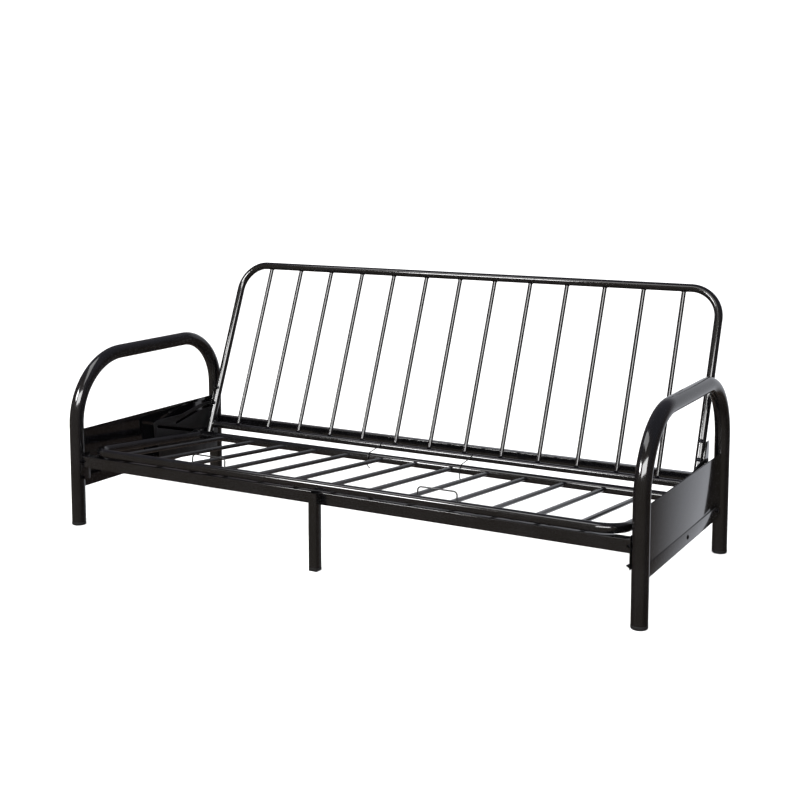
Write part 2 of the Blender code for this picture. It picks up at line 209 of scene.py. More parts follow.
def enamel_coat(name, thick, thin, peel_mm, peel_high, wave_mm, wave_high, rough, gloss=0.7):
    """Stoved enamel: a dark colour under a clear gloss, with orange peel over slow waves of the steel."""
    material, tree, shader = blank_material(name)
    place = object_place(tree)
    patch = spread(tree, noise(tree, place, 90.0), 0.0, 1.0)
    colour = add_node(tree, "ShaderNodeMix", {"data_type": "RGBA"}, [("Factor", patch)])
    colour.inputs[6].default_value = (*thick, 1)
    colour.inputs[7].default_value = (*thin, 1)
    tree.links.new(colour.outputs[2], shader.inputs["Base Color"])
    haze = spread(tree, noise(tree, place, 28.0, 4.0), rough * 0.8, rough * 1.25)
    tree.links.new(haze, shader.inputs["Roughness"])
    waves = noise(tree, place, wave_mm, 0.0)
    peel = noise(tree, place, peel_mm, 1.0)
    links = [("Height", waves)]
    slow = add_node(tree, "ShaderNodeBump", {"Strength": 1.0, "Distance": wave_high}, links)
    links = [("Height", peel), ("Normal", slow.outputs["Normal"])]
    fine = add_node(tree, "ShaderNodeBump", {"Strength": 1.0, "Distance": peel_high}, links)
    tree.links.new(fine.outputs["Normal"], shader.inputs["Normal"])
    tree.links.new(fine.outputs["Normal"], shader.inputs["Coat Normal"])
    shader.inputs["IOR"].default_value = 1.5
    shader.inputs["Coat Weight"].default_value = gloss
    shader.inputs["Coat Roughness"].default_value = 0.03
    return material


def tube_enamel(finishes):
    """Stoved enamel on drawn steel tube: gives deep black with a thin bright line along each tube."""
    return enamel_coat("stoved_enamel_on_drawn_tube", finishes.enamel, finishes.enamel_thin,
                       peel_mm=9.0, peel_high=0.000005, wave_mm=70.0, wave_high=0.00003, rough=0.13)


def sheet_enamel(finishes):
    """Stoved enamel on folded sheet: gives a broad soft reflection that ripples where the sheet oil-cans."""
    return enamel_coat("stoved_enamel_on_folded_sheet", finishes.enamel, finishes.enamel_thin,
                       peel_mm=9.0, peel_high=0.000005, wave_mm=160.0, wave_high=0.0001, rough=0.10)


def plate_enamel(finishes):
    """Dipped enamel on a thick cut plate: gives a flatter black, with no sharp reflections."""
    return enamel_coat("dipped_enamel_on_cut_plate", finishes.enamel, finishes.enamel_thin,
                       peel_mm=6.0, peel_high=0.00001, wave_mm=40.0, wave_high=0.00003, rough=0.42, gloss=0.0)


def wire_enamel(finishes):
    """Dipped lacquer on spring wire: gives a duller black with slight beads along the wire."""
    return enamel_coat("dipped_lacquer_on_spring_wire", finishes.enamel, finishes.enamel_thin,
                       peel_mm=5.0, peel_high=0.00002, wave_mm=25.0, wave_high=0.00005, rough=0.34)


def cap_plastic(finishes):
    """Moulded polyethylene: gives a soft satin black with a fine sparked grain."""
    material, tree, shader = blank_material("moulded_polyethylene_cap")
    place = object_place(tree)
    grain = noise(tree, place, 1.6, 3.0)
    bump = add_node(tree, "ShaderNodeBump", {"Strength": 0.6, "Distance": 0.0002}, [("Height", grain)])
    tree.links.new(bump.outputs["Normal"], shader.inputs["Normal"])
    scuff = spread(tree, noise(tree, place, 12.0, 4.0), 0.42, 0.62)
    tree.links.new(scuff, shader.inputs["Roughness"])
    mix = add_node(tree, "ShaderNodeMix", {"data_type": "RGBA"},
                   [("Factor", spread(tree, noise(tree, place, 20.0), 0.0, 1.0))])
    mix.inputs[6].default_value = (*finishes.plastic, 1)
    mix.inputs[7].default_value = (*[c * 1.5 for c in finishes.plastic], 1)
    tree.links.new(mix.outputs[2], shader.inputs["Base Color"])
    return material


def bolt_zinc(finishes):
    """Black zinc plate on turned steel: gives a smoky metal sheen, paler where a spanner has rubbed it."""
    material, tree, shader = blank_material("black_zinc_plate_on_turned_steel")
    place = object_place(tree)
    rubbed = spread(tree, noise(tree, place, 4.0, 3.0), 0.0, 1.0)
    mix = add_node(tree, "ShaderNodeMix", {"data_type": "RGBA"}, [("Factor", rubbed)])
    mix.inputs[6].default_value = (*[c * 0.35 for c in finishes.zinc], 1)
    mix.inputs[7].default_value = (*finishes.zinc, 1)
    tree.links.new(mix.outputs[2], shader.inputs["Base Color"])
    tree.links.new(spread(tree, noise(tree, place, 2.0, 2.0), 0.22, 0.4), shader.inputs["Roughness"])
    shader.inputs["Metallic"].default_value = 1.0
    return material


def glide_nylon(finishes):
    """Cast nylon: gives a waxy dark pad, polished along the line where the tube slides."""
    material, tree, shader = blank_material("cast_nylon_glide")
    place = object_place(tree)
    worn = add_node(tree, "ShaderNodeTexWave", {"Scale": 60.0, "Distortion": 2.0, "bands_direction": "X"},
                    [("Vector", place)])
    tree.links.new(spread(tree, worn.outputs["Fac"], 0.28, 0.5), shader.inputs["Roughness"])
    shader.inputs["Base Color"].default_value = (*[c * 0.9 for c in finishes.plastic], 1)
    shader.inputs["IOR"].default_value = 1.53
    return material


FINISHES = {
    "black_enamel_tube": tube_enamel,
    "black_enamel_sheet": sheet_enamel,
    "black_wire": wire_enamel,
    "plate_enamel": plate_enamel,
    "black_plastic": cap_plastic,
    "black_zinc_bolt": bolt_zinc,
    "glide_nylon": glide_nylon,
}
mixed = {}


def finish_of(name):
    """The material of that finish, mixed once."""
    if name not in mixed:
        mixed[name] = FINISHES[name](bpy.context.scene.futon_finishes)
    return mixed[name]


# ---------------------------------------------------------------- modelling steps


def deselect_all():
    if bpy.context.mode != "OBJECT":
        bpy.ops.object.mode_set(mode="OBJECT")
    bpy.ops.object.select_all(action="DESELECT")


def settle():
    """Puts the place of the active object into its mesh."""
    bpy.ops.object.transform_apply(location=True, rotation=True, scale=True)


def start_ring(centre, facing, radius, sides):
    """An open ring of edges square to a direction, all selected in edit mode."""
    deselect_all()
    turn = Vector(facing).to_track_quat("Z", "Y").to_euler()
    bpy.ops.mesh.primitive_circle_add(
        vertices=sides, radius=radius, fill_type="NOTHING", location=centre, rotation=turn)
    settle()
    bpy.ops.object.mode_set(mode="EDIT")
    bpy.ops.mesh.select_mode(type="EDGE")
    bpy.ops.mesh.select_all(action="SELECT")


def run_on(way, centre=(0, 0, 0), factor=1.0):
    """Extrudes what is selected along a way, then scales it about its new centre."""
    bpy.ops.mesh.extrude_region_move(TRANSFORM_OT_translate={"value": tuple(way)})
    if factor != 1.0:
        bpy.ops.transform.resize(value=(factor, factor, factor), center_override=tuple(centre))


def close_piece(smooth=35.0):
    """Fills the open ends, turns every face outwards and leaves edit mode."""
    bpy.ops.mesh.select_all(action="SELECT")
    bpy.ops.mesh.remove_doubles(threshold=0.00001)
    bpy.ops.mesh.fill_holes(sides=0)
    bpy.ops.mesh.select_all(action="SELECT")
    bpy.ops.mesh.normals_make_consistent(inside=False)
    bpy.ops.object.mode_set(mode="OBJECT")
    bpy.ops.object.shade_smooth_by_angle(angle=math.radians(smooth))
    return bpy.context.object


def hand_over(obj, name, body, slot, nodes=(), finish=None):
    """Names a finished piece, gives it its body and its slot's finish or another, and hides its nodes."""
    obj.name = name
    obj.data.name = name
    obj.data.materials.clear()
    obj.data.materials.append(finish_of(finish or slot))
    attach(obj, body)
    if nodes:
        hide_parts(*nodes)
    return obj


def copied(obj, shift):
    """A copy with its own mesh, moved by a shift."""
    deselect_all()
    made = bpy.data.objects.new("copy", obj.data.copy())
    bpy.context.scene.collection.objects.link(made)
    bpy.context.view_layer.objects.active = made
    made.select_set(True)
    bpy.ops.transform.translate(value=tuple(shift))
    settle()
    return made


def mirrored(obj):
    """A copy with its own mesh on the other side of the middle of the sofa."""
    deselect_all()
    made = bpy.data.objects.new("copy", obj.data.copy())
    bpy.context.scene.collection.objects.link(made)
    bpy.context.view_layer.objects.active = made
    made.select_set(True)
    made.scale.x = -1
    settle()
    bpy.ops.object.mode_set(mode="EDIT")
    bpy.ops.mesh.select_all(action="SELECT")
    bpy.ops.mesh.normals_make_consistent(inside=False)
    bpy.ops.object.mode_set(mode="OBJECT")
    return made


def joined(pieces):
    deselect_all()
    for piece in pieces:
        piece.select_set(True)
    bpy.context.view_layer.objects.active = pieces[0]
    bpy.ops.object.join()
    return bpy.context.object


def apply_modifier(obj, kind, **settings):
    deselect_all()
    obj.select_set(True)
    bpy.context.view_layer.objects.active = obj
    modifier = obj.modifiers.new(kind.title(), kind)
    for key, value in settings.items():
        setattr(modifier, key, value)
    bpy.ops.object.modifier_apply(modifier=modifier.name)


def bent_tube(route, bends, radius, sides, steps, bead=0.0):
    """A tube along straight legs, with a round bend at each inner point of the route."""
    route = [Vector(place) for place in route]
    ways = [(b - a).normalized() for a, b in zip(route, route[1:])]
    here = route[0]
    start_ring(here, ways[0], radius + bead, sides)
    if bead:
        here = weld_toe(here, ways[0], radius, bead, 1)
    for corner, bend, way, onward in zip(route[1:], bends, ways, ways[1:]):
        angle = way.angle(onward)
        touch = corner - way * bend * math.tan(angle / 2)
        run_on(touch - here)
        inward = (onward - way * way.dot(onward)).normalized()
        # spin turns left-handed about its axis
        axis = way.cross(onward).normalized()
        bpy.ops.mesh.spin(steps=steps, angle=-angle, center=touch + inward * bend, axis=axis)
        here = corner + onward * bend * math.tan(angle / 2)
    if bead:
        run_on(route[-1] - ways[-1] * 2 * bead - here)
        weld_toe(route[-1] - ways[-1] * 2 * bead, ways[-1], radius, bead, -1)
    else:
        run_on(route[-1] - here)
    return close_piece()


def weld_toe(here, way, radius, bead, sense):
    """Four rings of a hollow fillet two beads long; sense 1 leaves a joint and -1 comes up to one."""
    shares = [i / 4 for i in range(5)]
    if sense < 0:
        shares.reverse()
    reach = [radius + bead * (1 - share) ** 2 for share in shares]
    step = way * 2 * bead / 4
    for before, after in zip(reach, reach[1:]):
        here = here + step
        run_on(step, here, after / before)
    return here


def turned_piece(base, facing, profile, sides=32, smooth=35.0):
    """Rings of (radius, height) stacked along a direction from a base point."""
    base = Vector(base)
    facing = Vector(facing).normalized()
    radius, height = profile[0]
    start_ring(base + facing * height, facing, radius, sides)
    for next_radius, next_height in profile[1:]:
        run_on(facing * (next_height - height), base + facing * next_height, next_radius / radius)
        radius, height = next_radius, next_height
    return close_piece(smooth)


def dome(radius, low, high, steps, share=1.0):
    """(radius, height) rings of a dome that starts at a rim and stops at a share of a quarter turn."""
    turns = [i / steps * share * math.pi / 2 for i in range(steps + 1)]
    return [(radius * math.cos(t), low + (high - low) * math.sin(t)) for t in turns]


def button_bolt(base, facing, radius=0.0075, high=0.0042):
    """A domed bolt head with a hexagon socket."""
    rim = [(radius, -0.001), (radius, 0.0006)]
    cap = dome(radius, 0.0006, high, 6, 0.72)
    head = turned_piece(base, facing, rim + cap[1:], 32, 50.0)
    socket_at = Vector(base) + Vector(facing).normalized() * (cap[-1][1] + 0.0002)
    deselect_all()
    head.select_set(True)
    bpy.context.view_layer.objects.active = head
    rings = [(radius * 1.25, -0.001), (radius * 1.25, 0.0004), (radius * 1.15, 0.0007)]
    washer = turned_piece(base, facing, rings)
    wide, narrow = radius * 0.34, radius * 0.28
    hexagon = [(wide, -0.002), (wide, 0.0), (narrow, 0.0), (narrow, -0.0018)]
    socket = turned_piece(socket_at, facing, hexagon, 6)
    return joined([head, washer, socket])


def hex_bolt(base, facing, across=0.011, high=0.005, tail=0.0):
    """A hexagon head on a washer, with a threaded end if a tail is given."""
    corner = across / math.sqrt(3)
    rings = [(across * 0.72, -0.0006), (across * 0.72, 0.0008), (across * 0.66, 0.0013)]
    washer = turned_piece(base, facing, rings)
    head = turned_piece(base, facing, [(corner, 0.0012), (corner, high - 0.0008), (corner * 0.9, high),
                                       (corner * 0.5, high), (corner * 0.46, high - 0.0003)], 6)
    parts = [washer, head]
    if tail:
        turns = 9
        profile = [(0.0030, high - 0.001)]
        for i in range(turns):
            rise = high + tail * i / turns
            profile += [(0.0030, rise), (0.0026, rise + tail / turns / 2)]
        profile += [(0.0030, high + tail), (0.0022, high + tail + 0.0006)]
        parts.append(turned_piece(base, facing, profile, 20))
    return joined(parts)


def box_faces(low, high):
    """A box between two corners, open in edit mode with nothing selected."""
    deselect_all()
    low, high = Vector(low), Vector(high)
    centre = (low + high) / 2
    bpy.ops.mesh.primitive_cube_add(size=1, location=centre)
    bpy.ops.object.mode_set(mode="EDIT")
    bpy.ops.transform.resize(value=tuple(high - low), center_override=tuple(centre))
    bpy.ops.object.mode_set(mode="OBJECT")
    settle()
    bpy.ops.object.mode_set(mode="EDIT")
    bpy.ops.mesh.select_all(action="DESELECT")


def select_edges(test):
    """Selects the active mesh's edges whose end points pass a test."""
    bpy.ops.mesh.select_mode(type="EDGE")
    bpy.ops.mesh.select_all(action="DESELECT")
    bpy.ops.object.mode_set(mode="OBJECT")
    mesh = bpy.context.object.data
    for edge in mesh.edges:
        edge.select = test(*[mesh.vertices[i].co for i in edge.vertices])
    bpy.ops.object.mode_set(mode="EDIT")


def select_faces(test):
    """Selects the active mesh's faces whose centre and normal pass a test."""
    bpy.ops.mesh.select_mode(type="FACE")
    bpy.ops.mesh.select_all(action="DESELECT")
    bpy.ops.object.mode_set(mode="OBJECT")
    for face in bpy.context.object.data.polygons:
        face.select = test(face.center, face.normal)
    bpy.ops.object.mode_set(mode="EDIT")


def square_tube(node, axis, corner, wall, mouth=0.012):
    """A square tube in a node's place, with round corners and an open mouth at both ends."""
    low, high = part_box(node)
    box_faces(low, high)
    select_edges(lambda a, b: abs((b - a)[axis]) > 0.9 * (high - low)[axis])
    bpy.ops.mesh.bevel(offset=corner, segments=5, affect="EDGES")
    for end in (-1, 1):
        select_faces(lambda centre, normal: normal[axis] * end > 0.9)
        bpy.ops.mesh.inset(thickness=wall, depth=0)
        inward = Vector((0, 0, 0))
        inward[axis] = -end * mouth
        run_on(inward)
    return close_piece()


def softened_plate(node, round_over=0.0006):
    """A copy of a cut plate with its facets merged into whole faces and its rim eased."""
    deselect_all()
    obj = bpy.data.objects.new("plate", frame["nodes"][node].data.copy())
    bpy.context.scene.collection.objects.link(obj)
    bpy.context.view_layer.objects.active = obj
    obj.select_set(True)
    bpy.ops.object.mode_set(mode="EDIT")
    bpy.ops.mesh.select_all(action="SELECT")
    bpy.ops.mesh.remove_doubles(threshold=0.00001)
    bpy.ops.mesh.dissolve_limited(angle_limit=math.radians(1))
    bpy.ops.mesh.normals_make_consistent(inside=False)
    bpy.ops.object.mode_set(mode="OBJECT")
    apply_modifier(obj, "BEVEL", width=round_over, segments=2, limit_method="ANGLE",
                   angle_limit=math.radians(50), use_clamp_overlap=True)
    bpy.ops.object.shade_smooth_by_angle(angle=math.radians(35))
    return obj


def along_seat(along, above=0.0):
    """The step from the hinge to a place on the seat deck, in the plane of the arms."""
    tilt = bpy.context.scene.futon_tubes.seat_tilt
    forwards = Vector((0, -math.cos(tilt), math.sin(tilt)))
    upwards = Vector((0, math.sin(tilt), math.cos(tilt)))
    return forwards * along + upwards * above


def along_back(along, behind=0.0):
    """The step from the hinge to a place on the back deck, in the plane of the arms."""
    lean = bpy.context.scene.futon_tubes.back_lean
    upwards = Vector((0, math.sin(lean), math.cos(lean)))
    backwards = Vector((0, math.cos(lean), -math.sin(lean)))
    return upwards * along + backwards * behind


# ---------------------------------------------------------------- arms and side panels


class FUTON_OT_arm_tubes(Operator):
    """Bends the two arm tubes, each a leg, an arm rest and a leg in one run"""

    bl_idname = "futon.arm_tubes"
    bl_label = "Arm tubes"

    def execute(self, context):
        tubes = context.scene.futon_tubes
        low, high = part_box("arm_tube_right")
        radius = (high.x - low.x) / 2
        x, top = (low.x + high.x) / 2, high.z - radius
        front, rear = low.y + radius, high.y - radius
        route = [(x, front, low.z), (x, front, top), (x, rear, top), (x, rear, low.z)]
        bends = (tubes.front_bend, tubes.rear_bend)
        arm = bent_tube(route, bends, radius, tubes.around, 28)
        hand_over(mirrored(arm), "bent_arm_tube_left", "frame", "black_enamel_tube", ["arm_tube_left"])
        hand_over(arm, "bent_arm_tube_right", "frame", "black_enamel_tube", ["arm_tube_right"])
        return {"FINISHED"}


class FUTON_OT_foot_caps(Operator):
    """Moulds the four round foot caps and the square cap of the centre leg"""

    bl_idname = "futon.foot_caps"
    bl_label = "Foot caps"

    def execute(self, context):
        first = centre_of("foot_cap_front_right")
        high = size_of("foot_cap_front_right").z
        rim = size_of("arm_tube_right").x / 2 + 0.0001
        heel = 0.005
        rounding = [(rim - heel * (1 - math.sin(t)), heel * (1 - math.cos(t)))
                    for t in [i / 6 * math.pi / 2 for i in range(7)]]
        profile = [(rim * 0.55, 0.0006), (rim * 0.6, 0.0)] + rounding + [(rim, high - 0.0018),
                  (rim - 0.0006, high - 0.0012), (rim - 0.0006, high)]
        cap = turned_piece((first.x, first.y, 0), (0, 0, 1), profile, 40)
        places = {f"foot_cap_{end}_{word}": centre_of(f"foot_cap_{end}_{word}") for end in ("front", "rear")
                  for _, word in SIDES}
        for node, place in places.items():
            if node == "foot_cap_front_right":
                continue
            made = copied(cap, place - first)
            hand_over(made, f"moulded_{node}", "frame", "black_plastic", [node])
        hand_over(cap, "moulded_foot_cap_front_right", "frame", "black_plastic", ["foot_cap_front_right"])
        low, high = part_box("centre_leg_cap")
        box_faces(low, high)
        select_edges(lambda a, b: abs((b - a).z) > 0.9 * (high.z - low.z))
        bpy.ops.mesh.bevel(offset=0.0028, segments=5, affect="EDGES")
        select_faces(lambda centre, normal: normal.z < -0.9)
        bpy.ops.mesh.bevel(offset=0.0016, segments=3, affect="EDGES")
        select_faces(lambda centre, normal: normal.z > 0.9)
        bpy.ops.mesh.inset(thickness=0.0006, depth=0)
        hand_over(close_piece(), "moulded_centre_leg_cap", "frame", "black_plastic", ["centre_leg_cap"])
        return {"FINISHED"}


class FUTON_OT_side_panels(Operator):
    """Folds the sheet between each arm's legs, with its hem, foot strip and inner angle"""

    bl_idname = "futon.side_panels"
    bl_label = "Side panels"

    def execute(self, context):
        sheets = context.scene.futon_sheets
        low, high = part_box("side_panel_right")
        face = high.x - PANEL_STEP - sheets.gauge / 2
        step = high.x - sheets.gauge / 2 - face
        self.start_edge(face, low, high)
        up = high.z - low.z - 0.001
        for way in ((0, 0, up), (-0.0018, 0, 0.0006), (0, 0, -sheets.hem)):
            run_on(way)
        panel = self.fold(sheets.gauge)
        self.start_edge(face + step, low, high)
        for way in ((0, 0, sheets.strip - 0.001), (-step * 0.8, 0, 0.0008)):
            run_on(way)
        strip = self.fold(sheets.gauge)
        inside = face - sheets.gauge - 0.0004
        self.start_edge(inside, low, high)
        for way in ((0, 0, sheets.strip - 0.002), (-0.001, 0, 0.001), (-0.012, 0, 0)):
            run_on(way)
        angle = self.fold(sheets.gauge)
        folded = ((panel, "folded_side_panel", ["side_panel"]), (strip, "panel_foot_strip", []),
                  (angle, "panel_inner_angle", []))
        for piece, name, nodes in folded:
            for made, word in ((mirrored(piece), "left"), (piece, "right")):
                hand_over(made, f"{name}_{word}", "frame", "black_enamel_sheet",
                          [f"{node}_{word}" for node in nodes])
        return {"FINISHED"}

    def start_edge(self, x, low, high):
        """One selected edge along the foot of the sheet, from leg to leg."""
        deselect_all()
        long = high.y - low.y
        bpy.ops.mesh.primitive_plane_add(size=long, location=(x, (low.y + high.y) / 2, low.z))
        settle()
        bpy.ops.object.mode_set(mode="EDIT")
        select_edges(lambda a, b: (a.x + b.x) / 2 > x + long * 0.4)
        bpy.ops.mesh.select_all(action="INVERT")
        bpy.ops.mesh.delete(type="EDGE")
        bpy.ops.mesh.select_all(action="SELECT")
        bpy.ops.transform.translate(value=(-long / 2, 0, 0))

    def fold(self, gauge):
        """Gives the folded sheet its thickness and a small radius at each fold."""
        bpy.ops.mesh.select_all(action="SELECT")
        bpy.ops.mesh.normals_make_consistent(inside=False)
        bpy.ops.object.mode_set(mode="OBJECT")
        sheet = bpy.context.object
        apply_modifier(sheet, "SOLIDIFY", thickness=gauge, offset=0.0, use_even_offset=True)
        apply_modifier(sheet, "BEVEL", width=gauge * 0.4, segments=3, limit_method="ANGLE",
                       angle_limit=math.radians(30))
        bpy.ops.object.mode_set(mode="EDIT")
        return close_piece(50.0)


# ---------------------------------------------------------------- rails and legs


class FUTON_OT_rails(Operator):
    """Makes the front rail in two halves, the rear rail and the square centre leg"""

    bl_idname = "futon.rails"
    bl_label = "Rails and centre leg"

    def execute(self, context):
        sheets = context.scene.futon_sheets
        members = (("front_rail_left", 0), ("front_rail_right", 0), ("rear_rail", 0), ("centre_leg", 2))
        for node, axis in members:
            tube = square_tube(node, axis, sheets.corner, sheets.wall)
            hand_over(tube, f"square_{node}", "frame", "black_enamel_sheet", [node])
        return {"FINISHED"}


class FUTON_OT_rail_fittings(Operator):
    """Makes the rail's end brackets with their bolts, and the nylon pads under the seat"""

    bl_idname = "futon.rail_fittings"
    bl_label = "Rail fittings"

    def execute(self, context):
        for side, word in SIDES:
            bracket = softened_plate(f"rail_bracket_{word}")
            hand_over(bracket, f"eased_rail_bracket_{word}", "frame", "black_enamel_sheet",
                      [f"rail_bracket_{word}"])
            low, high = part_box(f"rail_bracket_{word}")
            inner = high.x if side < 0 else low.x
            for place, height in (("upper", high.z - 0.030), ("lower", low.z + 0.011)):
                bolt = hex_bolt((inner, low.y + 0.004, height), (-side, 0, 0), 0.010, 0.0045, 0.004)
                hand_over(bolt, f"rail_bolt_{place}_{word}", "frame", "black_zinc_bolt")
            self.glide_pad(word)
        return {"FINISHED"}

    def glide_pad(self, word):
        """A shallow pad with rounded corners and a lip round its top."""
        low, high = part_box(f"seat_glide_pad_{word}")
        box_faces(low, high)
        select_edges(lambda a, b: abs((b - a).z) > 0.9 * (high.z - low.z))
        bpy.ops.mesh.bevel(offset=0.004, segments=5, affect="EDGES")
        select_faces(lambda centre, normal: normal.z > 0.9)
        bpy.ops.mesh.inset(thickness=0.0007, depth=0)
        bpy.ops.transform.translate(value=(0, 0, -0.0002))
        hand_over(close_piece(), f"nylon_glide_pad_{word}", "frame", "black_plastic",
                  [f"seat_glide_pad_{word}"], "glide_nylon")


# ---------------------------------------------------------------- guides and hinge


class FUTON_OT_guides(Operator):
    """Finishes the slotted guide plates and bolts them through the side panels"""

    bl_idname = "futon.guides"
    bl_label = "Guide plates"

    def execute(self, context):
        front = centre_of("foot_cap_front_right").y
        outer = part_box("side_panel_right")[1].x
        skin = outer - PANEL_STEP
        for side, word in SIDES:
            plate = softened_plate(f"guide_plate_{word}")
            hand_over(plate, f"eased_guide_plate_{word}", "frame", "black_enamel_sheet",
                      [f"guide_plate_{word}"], "plate_enamel")
            for place, step, back, height in PANEL_BOLTS:
                bolt = button_bolt((side * (skin + step), front + back, height), (side, 0, 0), 0.0062, 0.0032)
                hand_over(bolt, f"panel_bolt_{place}_{word}", "frame", "black_zinc_bolt")
        return {"FINISHED"}


class FUTON_OT_hinge_pins(Operator):
    """Turns the two headed hinge pins with their washers"""

    bl_idname = "futon.hinge_pins"
    bl_label = "Hinge pins"

    def execute(self, context):
        hinge = joint_point("back_fold")
        for side, word in SIDES:
            low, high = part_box(f"hinge_pin_{word}")
            inner, outer = sorted((abs(low.x), abs(high.x)))
            plate_face = max(abs(v.x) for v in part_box("back_frame_tube")) + 0.0100
            long = outer - inner
            neck = plate_face - inner
            profile = [(0.0036, -0.0006), (0.0048, 0.0006), (0.0048, neck)]
            profile += [(0.0084, neck), (0.0084, long - 0.0016), (0.0076, long - 0.0004)]
            profile += [(0.005, long), (0.003, long)]
            pin = turned_piece((side * inner, hinge.y, hinge.z), (side, 0, 0), profile, 32)
            nut = hex_bolt((side * (inner + 0.002), hinge.y, hinge.z), (-side, 0, 0), 0.013, 0.006, 0.0)
            hand_over(joined([pin, nut]), f"turned_hinge_pin_{word}", "carriage", "black_zinc_bolt",
                      [f"hinge_pin_{word}"])
            lug = softened_plate(f"seat_hinge_lug_{word}")
            hand_over(lug, f"eased_seat_hinge_lug_{word}", "seat", "black_enamel_sheet",
                      [f"seat_hinge_lug_{word}"])
        return {"FINISHED"}


# ---------------------------------------------------------------- seat deck


class FUTON_OT_seat_frame(Operator):
    """Bends the seat frame tube and welds it to the straight rear tube"""

    bl_idname = "futon.seat_frame"
    bl_label = "Seat frame"

    def execute(self, context):
        tubes = context.scene.futon_tubes
        hinge = joint_point("seat_tilt")
        radius = SEAT_TUBE
        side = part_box("seat_frame_tube")[1].x - radius
        rear = centre_of("seat_rear_tube")
        rear_radius = size_of("seat_rear_tube").z / 2
        start = (hinge - rear).length - abs(rear.x) + rear_radius + 0.0004
        deep = SEAT_DEEP
        back_left, back_right = [Vector((x, hinge.y, hinge.z)) + along_seat(start) for x in (-side, side)]
        front_left, front_right = [Vector((x, hinge.y, hinge.z)) + along_seat(deep) for x in (-side, side)]
        seat = bent_tube([back_right, front_right, front_left, back_left], (tubes.seat_bend,) * 2, radius,
                         tubes.around - 8, 20, tubes.bead)
        hand_over(seat, "bent_seat_frame_tube", "seat", "black_enamel_tube", ["seat_frame_tube"])
        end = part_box("seat_rear_tube")[1].x
        cap = 0.0016
        profile = [(rear_radius - cap, -end), (rear_radius - cap * 0.3, -end + cap * 0.3),
                   (rear_radius, -end + cap), (rear_radius, 0.0), (rear_radius, end - cap),
                   (rear_radius - cap * 0.3, end - cap * 0.3), (rear_radius - cap, end)]
        tube = turned_piece(rear, (1, 0, 0), profile, tubes.around - 8)
        hand_over(tube, "drawn_seat_rear_tube", "seat", "black_enamel_tube", ["seat_rear_tube"])
        return {"FINISHED"}


def welded_bar(start, end, radius, bead, flat_share, flat_long, sides=20):
    """A round bar with a weld at each end; its first end is pressed flat by a share."""
    start, end = Vector(start), Vector(end)
    way = (end - start).normalized()
    start_ring(start, way, radius + bead, sides)
    here = weld_toe(start, way, radius, bead, 1)
    if flat_long:
        bpy.ops.mesh.select_all(action="SELECT")
        bpy.ops.transform.resize(value=(1 / flat_share ** 0.5, 1, flat_share), center_override=tuple(here))
        select_last_ring(here, way)
        for _ in range(4):
            run_on(way * flat_long / 4)
            here = here + way * flat_long / 4
            ease = flat_share ** -0.25
            bpy.ops.transform.resize(value=(ease ** -0.5, 1, ease), center_override=tuple(here))
    middle = end - way * 2 * bead
    run_on(middle - here)
    weld_toe(middle, way, radius, bead, -1)
    return close_piece()


def set_out(bar, stem, body):
    """Copies a bar to the place of every node in its row, and gives the middle node the bar itself."""
    for number in range(1, BARS + 1):
        node = f"{stem}_{number:02d}"
        if number != MIDDLE_BAR:
            made = copied(bar, (centre_of(node).x, 0, 0))
            hand_over(made, f"welded_{node}", body, "black_enamel_tube", [node])
    middle = f"{stem}_{MIDDLE_BAR:02d}"
    hand_over(bar, f"welded_{middle}", body, "black_enamel_tube", [middle])


def select_last_ring(here, way):
    """Selects the ring of vertices level with a place on the bar's line."""
    bpy.ops.mesh.select_mode(type="VERT")
    bpy.ops.mesh.select_all(action="DESELECT")
    bpy.ops.object.mode_set(mode="OBJECT")
    mesh = bpy.context.object.data
    for vertex in mesh.vertices:
        vertex.select = abs((vertex.co - here).dot(way)) < 0.0002
    bpy.ops.object.mode_set(mode="EDIT")
    bpy.ops.mesh.select_mode(type="EDGE")


class FUTON_OT_seat_slats(Operator):
    """Makes the thirteen seat slats, pressed flat where they meet the rear tube"""

    bl_idname = "futon.seat_slats"
    bl_label = "Seat slats"

    def execute(self, context):
        tubes = context.scene.futon_tubes
        hinge = joint_point("seat_tilt")
        radius = size_of(f"seat_slat_{MIDDLE_BAR:02d}").x / 2
        rear = centre_of("seat_rear_tube")
        start = (hinge - rear).length + size_of("seat_rear_tube").z / 2
        base = Vector((0, hinge.y, hinge.z))
        end = base + along_seat(SEAT_DEEP - SEAT_TUBE)
        slat = welded_bar(base + along_seat(start), end, radius, tubes.bead, 0.72, 0.016)
        set_out(slat, "seat_slat", "seat")
        return {"FINISHED"}


class FUTON_OT_mattress_stops(Operator):
    """Bends the two wire loops that keep the mattress from sliding off the seat"""

    bl_idname = "futon.mattress_stops"
    bl_label = "Mattress stops"

    def execute(self, context):
        hinge = joint_point("seat_tilt")
        front = Vector((0, hinge.y, hinge.z)) + along_seat(SEAT_DEEP)
        foot, top = along_seat(0, SEAT_TUBE - 0.001), along_seat(0, SEAT_TUBE + STOP_HIGH)
        for _, word in SIDES:
            low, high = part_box(f"mattress_stop_{word}")
            left, right = Vector((low.x + STOP_WIRE, 0, 0)), Vector((high.x - STOP_WIRE, 0, 0))
            route = [front + right + foot, front + right + top, front + left + top, front + left + foot]
            stop = bent_tube(route, (STOP_BEND, STOP_BEND), STOP_WIRE, 16, 8, 0.0016)
            hand_over(stop, f"bent_mattress_stop_{word}", "seat", "black_wire", [f"mattress_stop_{word}"])
        return {"FINISHED"}


